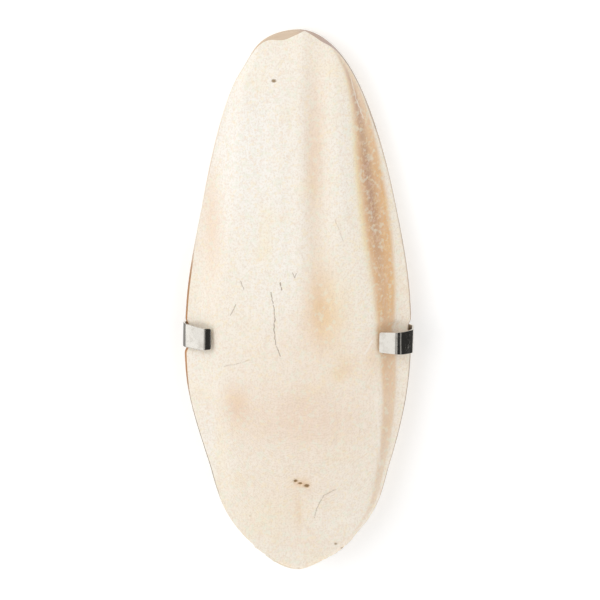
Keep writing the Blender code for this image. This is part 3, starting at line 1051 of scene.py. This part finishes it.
def chalk_finish():
    """Soft, matt chalk with its tones, grain, growth lines, cracks and pits."""
    material, shader, wire = new_finish("soft chalk")
    colour, ripple = speckled(wire, toned_chalk(wire))
    mottle = noise(wire, 0.9 * MM, 2.0)
    turns = fact(wire, "growth") * (2 * math.pi / LINE_SPACING)
    line = 0.5 + 0.5 * wire.calc("SINE", turns)
    groove = within(line, 0.40, 1.0) * fact(wire, "lines") * within(mottle, 0.35, 0.60)
    # painted shade in the growth lines' grooves
    colour = mixed(groove * 0.20, colour, GRAIN_DARK_AND_GROOVE_SHADE)
    plan = wire.node("ShaderNodeAttribute", {"attribute_name": "plan"}, None, "Vector")
    drift = wire.node("ShaderNodeTexNoise", None, {"Vector": plan, "Scale": 1.0 / (1.2 * MM)}, "Color")
    drift = vector_calc(plan, "SUBTRACT", drift, (0.5, 0.5, 0.5))
    drift = plan.node("ShaderNodeVectorMath", {"operation": "SCALE"}, {0: drift, "Scale": CRACK_WANDER})
    place = vector_calc(plan, "ADD", plan, drift)
    place = vector_calc(plan, "MULTIPLY", place, (1.0, 1.0, 0.0))
    crack = line_mask(place, CRACKS) * within(mottle, 0.25, 0.50)
    colour = mixed(line_mask(place, SCUFFS) * 0.8, colour, SCUFF_LIGHT)
    colour = mixed(crack, colour, CRACK_GREY)
    # the pits are darkened towards olive, more where they are deeper
    pit = within(fact(wire, "dark") * (0.55 + 0.9 * mottle), 0.30, 0.85)
    colour = mixed(pit * 0.85, colour, PIT_OLIVE)
    connect(colour, shader, "Base Color")
    grain = bumped(ripple, 0.05 * MM, 0.6)
    ribs = bumped(1.0 - groove, 0.015 * MM, 0.8, grain)
    connect(bumped(1.0 - crack, 0.08 * MM, 0.8, ribs), shader, "Normal")
    connect(CHALK_ROUGHNESS - 0.1 * mottle, shader, "Roughness")
    shader.inputs["Specular IOR Level"].default_value = 0.20
    return material


soft_chalk = chalk_finish()
print("made", soft_chalk.name)

# %% [markdown]
# The shield is harder. Its granules are bone-white with a little brown between them, and its
# border is a thin horny rim, amber where it is thick. At the head end the cut layers of chalk
# show as a brown-grey wall with fine lines, painted greyer on the right as shade. The geometry
# nodes already pressed the granules in, so the shader only has to colour their grooves and make
# the rim slightly glossy.

# %% The shield and its rim
SHIELD_WHITE = paint(240, 229, 212)
SHIELD_BROWN = paint(204, 174, 142)
HORN = paint(244, 234, 218)
AMBER = paint(196, 138, 84)
INK = paint(150, 138, 122)
WALL_TAN = paint(218, 196, 172)
# painted shade on the right of the head wall
WALL_SHADE_GREY = paint(196, 174, 164)


def shield_finish():
    """Granular back, horny rim and the head end's layered wall, greyer on its right as painted shade."""
    material, shader, wire = new_finish("hard shield")
    cloud = noise(wire, 8.0 * MM, 4.0)
    mottle = noise(wire, 0.8 * MM, 3.0)
    patchy = 0.4 + 1.1 * noise(wire, 2.4 * MM, 3.0)
    colour = mixed(within(mottle, 0.42, 0.70) * fact(wire, "granules") * 0.6, SHIELD_WHITE, SHIELD_BROWN)
    colour = mixed(within(cloud, 0.45, 0.75) * 0.25, colour, ROSY)
    rim = mixed(fact(wire, "amber") * patchy, HORN, AMBER)
    rim = mixed(fact(wire, "ink") * patchy, rim, INK)
    colour = mixed(fact(wire, "horn"), colour, rim)
    layers = noise(wire, 0.5 * MM, 2.0, (0.05, 0.05, 1.0))
    # the head wall turns greyer towards the right: painted shade
    wall = mixed(fact(wire, "right_side"), WALL_TAN, WALL_SHADE_GREY)
    wall = mixed(within(layers, 0.40, 0.65) * 0.35, wall, SHIELD_BROWN)
    colour = mixed(fact(wire, "head_wall"), colour, wall)
    connect(colour, shader, "Base Color")
    rough = bumped(noise(wire, 0.4 * MM, 4.0), 0.08 * MM, 0.6)
    connect(bumped(layers, 0.10 * MM, 0.5, rough), shader, "Normal")
    connect(0.80 - 0.35 * fact(wire, "horn") * fact(wire, "amber"), shader, "Roughness")
    return material


hard_shield = shield_finish()
print("made", hard_shield.name)

# %% [markdown]
# The tree now runs once, with its sizes and the two finishes, and its result is kept as a plain
# mesh. A live modifier would do the same work again in every later step.

# %% Grow the bone
BONE_SHARP = math.radians(50)
bone = grown("bone_with_growth_lines", bone_base, relief_tree(), {
    **RELIEF_SIZES,
    "Chalk": soft_chalk,
    "Shield": hard_shield,
})
bone.data.set_sharp_from_angle(angle=BONE_SHARP)
bone.data.calc_loop_triangles()
print("bone triangles", len(bone.data.loop_triangles), "materials", [m.name for m in bone.data.materials])

# %% [markdown]
# The clip is one strip of plated steel, bent round the bone and folded over its edges. It could
# be a box with many loop cuts, but each bend would then be set by hand. Here its path is a line
# with arcs at its corners, and geometry nodes sweep a rounded section along it. The line's points
# also say how wide the strip is there, for the tapered tabs and their rounded ends.

# %% The strip's path
CLIP_WIDTH = 6.0 * MM
CLIP_TIP_WIDTH = 5.2 * MM
CLIP_THICKNESS = 0.5 * MM
CLIP_SKEW = math.radians(-1.0)
CLIP_GAP = 0.35 * MM
CLIP_FLAT_HALF = 8.0 * MM
CLIP_HUG_X = 20.0 * MM
CLIP_BACK_X = 24.0 * MM
BACK_STEPS = 32
BEND_STEP = math.radians(4)
TIP_CORNER = 0.45 * MM
TIP_STEPS = 5
LEFT_TAB = (
    (28.35 * MM, 5.5 * MM, 1.2 * MM),
    (28.35 * MM, 8.2 * MM, 2.0 * MM),
    (23.90 * MM, 12.8 * MM, 1.3 * MM),
    (21.90 * MM, 12.4 * MM, 0.0 * MM),
)
RIGHT_TAB = (
    (28.35 * MM, 5.5 * MM, 1.2 * MM),
    (28.35 * MM, 11.0 * MM, 3.0 * MM),
    (25.25 * MM, 14.0 * MM, 2.6 * MM),
    (20.30 * MM, 12.8 * MM, 0.0 * MM),
)


def rounded(corners):
    """Points along straight runs between corners (x, z, radius), with an arc at each corner."""
    points = [Vector(corners[0][:2])]
    for before, corner, after in zip(corners, corners[1:], corners[2:]):
        middle = Vector(corner[:2])
        inward = (Vector(before[:2]) - middle).normalized()
        outward = (Vector(after[:2]) - middle).normalized()
        half_angle = inward.angle(outward) / 2
        reach = corner[2] / math.tan(half_angle)
        centre = middle + (inward + outward).normalized() * (corner[2] / math.sin(half_angle))
        start = middle + inward * reach - centre
        turn = -start.angle_signed(middle + outward * reach - centre)
        steps = max(2, math.ceil(abs(turn) / BEND_STEP))
        points += [centre + Matrix.Rotation(turn * step / steps, 2) @ start for step in range(steps + 1)]
    points.append(Vector(corners[-1][:2]))
    return points


def strip_back_line():
    """Inner face of the strip behind the bone: flat in the middle, then close to the back."""
    place = (CLIP_Y - (HEAD_Y + TAIL_Y) / 2) * 2 / (HEAD_Y - TAIL_Y)
    reach = np.linspace(-CLIP_BACK_X, CLIP_BACK_X, BACK_STEPS + 1)
    reach = np.sort(np.append(reach, [-CLIP_FLAT_HALF, CLIP_FLAT_HALF]))
    distance = np.abs(reach)
    keel = back_height(0.0, place)
    height = back_height(distance / WIDEST_HALF, place) - keel
    flat_height = back_height(CLIP_FLAT_HALF / WIDEST_HALF, place) - keel
    hug = eased((distance - CLIP_FLAT_HALF) / (CLIP_HUG_X - CLIP_FLAT_HALF))
    height = np.where(distance < CLIP_FLAT_HALF * 1.001, 0.0, height - flat_height * (1.0 - hug))
    return [(x, z + keel - CLIP_GAP, 0.0) for x, z in zip(reach, height)]


def round_tip(tip, inner):
    """Extra points just behind a tip, where the strip's corners are rounded."""
    heading = (inner - tip).normalized()
    turns = [math.pi / 2 * step / TIP_STEPS for step in range(TIP_STEPS + 1)]
    return [tip + heading * TIP_CORNER * (1.0 - math.cos(turn)) for turn in turns]


def strip_middle_line():
    """Middle of the strip's thickness, from the left tip to the right tip."""
    back = strip_back_line()
    left = [(-x, z, radius) for x, z, radius in LEFT_TAB]
    inner = rounded([back[0]] + left)[::-1] + [Vector(p[:2]) for p in back[1:-1]]
    inner += rounded([back[-1]] + list(RIGHT_TAB))
    middle = []
    for index, point in enumerate(inner):
        run = (inner[min(index + 1, len(inner) - 1)] - inner[max(index - 1, 0)]).normalized()
        middle.append(point + Vector((run.y, -run.x)) * CLIP_THICKNESS / 2)
    return round_tip(middle[0], middle[1]) + middle[1:-1] + round_tip(middle[-1], middle[-2])[::-1]


def width_share(point, to_tip):
    """Width of the strip at a point of its path, as a share of its full width."""
    half = CLIP_WIDTH / 2
    if point.y > LEFT_TAB[1][1]:
        tip_x = min(LEFT_TAB[-1][0], RIGHT_TAB[-1][0])
        narrowing = (LEFT_TAB[0][0] - abs(point.x)) / (LEFT_TAB[0][0] - tip_x)
        half += (CLIP_TIP_WIDTH - CLIP_WIDTH) / 2 * max(narrowing, 0.0)
    missing = max(TIP_CORNER - to_tip, 0.0)
    return (half - TIP_CORNER + math.sqrt(TIP_CORNER ** 2 - missing ** 2)) / (CLIP_WIDTH / 2)


def strip_line_mesh():
    """The path as a mesh of edges, which also holds the width at each point."""
    line = strip_middle_line()
    mesh = bpy.data.meshes.new("strip path")
    mesh.from_pydata([(p.x, 0.0, p.y) for p in line], [(i, i + 1) for i in range(len(line) - 1)], [])
    shares = [width_share(p, min((p - line[0]).length, (p - line[-1]).length)) for p in line]
    mesh.attributes.new("width_share", "FLOAT", "POINT").data.foreach_set("value", shares)
    return mesh


strip_line = strip_line_mesh()
print("path points", len(strip_line.vertices))

# %% [markdown]
# The section is a flat rectangle with slightly rounded edges, as sheet metal has after cutting
# and plating. It is swept at full width first, and then pulled in where the path asks for less.

# %% Sweep the strip
STRIP_SIZES = {
    "Width": CLIP_WIDTH,
    "Thickness": CLIP_THICKNESS,
    "Edge Radius": 0.10 * MM,
}
CLIP_SHARP = math.radians(40)


def strip_tree():
    """Sweep a rounded section along a path, and narrow it where the path says so."""
    tree, start = new_tree("bent strip", STRIP_SIZES, ("Plating",))
    section = start.node("GeometryNodeCurvePrimitiveQuadrilateral", None, {
        "Width": start.pick("Width"),
        "Height": start.pick("Thickness"),
    })
    rounded_section = start.node("GeometryNodeFilletCurve", {"mode": "POLY"}, {
        "Curve": section,
        "Count": 3,
        "Radius": start.pick("Edge Radius"),
    })
    path = start.node("GeometryNodeMeshToCurve", None, {"Mesh": start})
    swept = start.node("GeometryNodeCurveToMesh", None, {
        "Curve": path,
        "Profile Curve": rounded_section,
        "Fill Caps": True,
    })
    share = attribute(start, "width_share")
    factor = start.node("ShaderNodeCombineXYZ", None, {"X": 1.0, "Y": share, "Z": 1.0})
    place = start.node("GeometryNodeInputPosition")
    narrowed = start.node("ShaderNodeVectorMath", {"operation": "MULTIPLY"}, {0: place, 1: factor})
    shaped = start.node("GeometryNodeSetPosition", None, {"Geometry": swept, "Position": narrowed})
    whole = start.node("GeometryNodeRealizeInstances", None, {"Geometry": shaped})
    dressed = start.node("GeometryNodeSetMaterial", None, {"Geometry": whole, "Material": start.pick("Plating")})
    start.node("NodeGroupOutput", None, {"Geometry": dressed})
    return tree


# %% [markdown]
# Plated steel is almost a mirror, so it shows the room and not itself: a bright side, a dark
# side and a sharp line between them at each bend. What keeps it from looking like chrome on a
# screen is small: smudges that blur the mirror in places, hairline scratches along the strip and
# a little waviness from bending.

# %% The plating
PLATING = paint(226, 222, 214)
PLATING_WORN = paint(196, 188, 176)


def plating_finish():
    """Bright plating with smudges, hairlines and slight waves."""
    material, shader, wire = new_finish("bright plating")
    smudge = noise(wire, 2.2 * MM, 4.0)
    hairline = noise(wire, 0.12 * MM, 2.0, (0.06, 1.0, 0.06))
    colour = mixed(within(smudge, 0.45, 0.75) * 0.5, PLATING, PLATING_WORN)
    connect(colour, shader, "Base Color")
    connect(0.07 + 0.12 * within(smudge, 0.40, 0.80) + 0.06 * hairline, shader, "Roughness")
    waves = bumped(noise(wire, 2.5 * MM, 1.0), 0.03 * MM, 0.6)
    connect(bumped(hairline, 0.004 * MM, 0.5, waves), shader, "Normal")
    shader.inputs["Metallic"].default_value = 1.0
    return material


bright_plating = plating_finish()
strip = grown("bent_metal_strip", strip_line, strip_tree(), {**STRIP_SIZES, "Plating": bright_plating})
laid_across = Matrix.Translation((0.0, CLIP_Y, 0.0)) @ Matrix.Rotation(CLIP_SKEW, 4, "Z")
strip.data.transform(REST_PLACE @ laid_across)
strip.data.shade_smooth()
strip.data.set_sharp_from_angle(angle=CLIP_SHARP)
strip.data.calc_loop_triangles()
print("strip triangles", len(strip.data.loop_triangles))

# %% [markdown]
# Both pieces ride on the one body there is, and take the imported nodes' places. The record's
# material slots tell a scene which finish it may swap.

# %% Tie the pieces to the frame
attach(bone, BODY)
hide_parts("cuttlebone")
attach(strip, BODY)
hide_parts("metal_clip")

# %% [markdown]
# The photo has a soft, nearly even light and a pure white ground. The floor is matt and glows a
# little, as an overexposed ground does, and a dome that only the camera sees keeps the background
# pale from every side. A plain white world would also light the metal, which needs dark parts.

# %% Floor and backdrop
FLOOR_HALF = 3.0
FLOOR_COLOUR = (0.96, 0.96, 0.96, 1.0)
FLOOR_LIFT = 0.22
DOME_RADIUS = 12.0
DOME_GLOW = 0.95
WHITE = (1.0, 1.0, 1.0, 1.0)
BLACK = (0.0, 0.0, 0.0, 1.0)


def hide_from(thing, *rays):
    """Make a thing invisible to the named kinds of ray."""
    for ray in rays:
        setattr(thing, "visible_" + ray, False)


def glow_finish(name, colour, strength):
    """A matt surface of one colour that also glows white."""
    material, shader, wire = new_finish(name)
    shader.inputs["Base Color"].default_value = colour
    shader.inputs["Roughness"].default_value = 1.0
    shader.inputs["Specular IOR Level"].default_value = 0.0
    shader.inputs["Emission Color"].default_value = WHITE
    shader.inputs["Emission Strength"].default_value = strength
    return material, shader, wire


def add_sheet(name, low, high, height, finish):
    """A flat sheet between two corners, at a height above the ground."""
    corners = [(low[0], low[1]), (high[0], low[1]), (high[0], high[1]), (low[0], high[1])]
    mesh = bpy.data.meshes.new(name)
    mesh.from_pydata([(x, y, height) for x, y in corners], [], [(0, 1, 2, 3)])
    mesh.materials.append(finish)
    sheet = bpy.data.objects.new(name, mesh)
    bpy.context.collection.objects.link(sheet)
    return sheet


def add_dome(name, radius, finish):
    """A sphere round the whole scene."""
    bpy.ops.mesh.primitive_uv_sphere_add(segments=48, ring_count=24, radius=radius)
    dome = bpy.context.object
    dome.name = name
    dome.data.shade_smooth()
    dome.data.materials.append(finish)
    return dome


ground = glow_finish("white ground", FLOOR_COLOUR, FLOOR_LIFT)[0]
add_sheet("ground", (-FLOOR_HALF, -FLOOR_HALF), (FLOOR_HALF, FLOOR_HALF), 0.0, ground)
pale_dome = add_dome("pale_dome", DOME_RADIUS, glow_finish("pale dome", BLACK, DOME_GLOW)[0])
hide_from(pale_dome, "diffuse", "glossy", "transmission", "shadow", "volume_scatter")
print("floor and backdrop are in place")

# %% [markdown]
# Polished metal shows the room. In the photo, what leans left is white, the bend of the right tab
# has grey and pale stripes, and what faces right is nearly black, with a paler outermost edge. A
# second dome with bands of brightness across it, and two cards on the ground, give exactly that.
# Only mirrors see them, so the chalk's even light stays as it is.

# %% The room that the metal mirrors
MIRROR_RADIUS = 8.0
MIRROR_DARK = 0.035
MIRROR_BANDS = (
    (-1.20, -0.20, 1.00),
    (-0.20, -0.02, 0.36),
    (0.00, 0.13, 0.62),
    (0.56, 0.68, 0.42),
)
BAND_EDGE = 0.03
CARD_HEIGHT = 0.0002
CARD_REACH = 2.0


def band(wire, low, high):
    """1 between low and high, with soft edges."""
    return within(wire, low - BAND_EDGE, low + BAND_EDGE) - within(wire, high - BAND_EDGE, high + BAND_EDGE)


def mirror_finish():
    """Bands of brightness that follow how far right a place lies."""
    material, shader, wire = glow_finish("mirror room", BLACK, 1.0)
    place = wire.node("ShaderNodeTexCoord", None, None, "Object")
    sideways = wire.node("ShaderNodeSeparateXYZ", None, {"Vector": place}, "X") / MIRROR_RADIUS
    level = MIRROR_DARK + sum(level * band(sideways, low, high) for low, high, level in MIRROR_BANDS)
    connect(wire.node("ShaderNodeCombineColor", None, {0: level, 1: level, 2: level}), shader, "Emission Color")
    return material


mirror_dome = add_dome("mirror_dome", MIRROR_RADIUS, mirror_finish())
dark_card = glow_finish("dark card", BLACK, 0.05)[0]
grey_card = glow_finish("grey card", BLACK, 0.34)[0]
right_card = add_sheet("right_card", (0.040, -CARD_REACH), (CARD_REACH, CARD_REACH), CARD_HEIGHT, dark_card)
left_card = add_sheet("left_card", (-0.110, -CARD_REACH), (-0.030, CARD_REACH), CARD_HEIGHT, grey_card)
for thing in (mirror_dome, right_card, left_card):
    hide_from(thing, "camera", "diffuse", "transmission", "shadow", "volume_scatter")
print("mirror bands", len(MIRROR_BANDS))

# %% [markdown]
# The light itself is a white world for the even part, a broad lamp on the left for the form and a
# weaker one on the right. Lamps alone would leave the steep right flank too dark.

# %% Light
SKY_STRENGTH = 0.58
LAMPS = (
    ("key_lamp", (-0.60, 0.30, 0.75), (0.9, 0.9), 4.4),
    ("fill_lamp", (0.65, -0.05, 0.80), (0.9, 0.9), 2.0),
)


def add_sky():
    """An even white world."""
    world = bpy.data.worlds.new("room")
    bpy.context.scene.world = world
    world.use_nodes = True
    sky = world.node_tree.nodes["Background"]
    sky.inputs["Color"].default_value = WHITE
    sky.inputs["Strength"].default_value = SKY_STRENGTH


def add_lamps():
    """Soft square lamps that point at the object and that mirrors don't see."""
    for name, place, size, power in LAMPS:
        data = bpy.data.lights.new(name, "AREA")
        data.shape = "RECTANGLE"
        data.size, data.size_y = size
        data.energy = power
        lamp = bpy.data.objects.new(name, data)
        bpy.context.collection.objects.link(lamp)
        lamp.location = place
        lamp.rotation_euler = (-Vector(place)).to_track_quat("-Z", "Y").to_euler()
        hide_from(lamp, "camera", "glossy")


add_sky()
add_lamps()
bpy.context.scene.view_settings.view_transform = "Standard"
print("lamps", [lamp[0] for lamp in LAMPS])
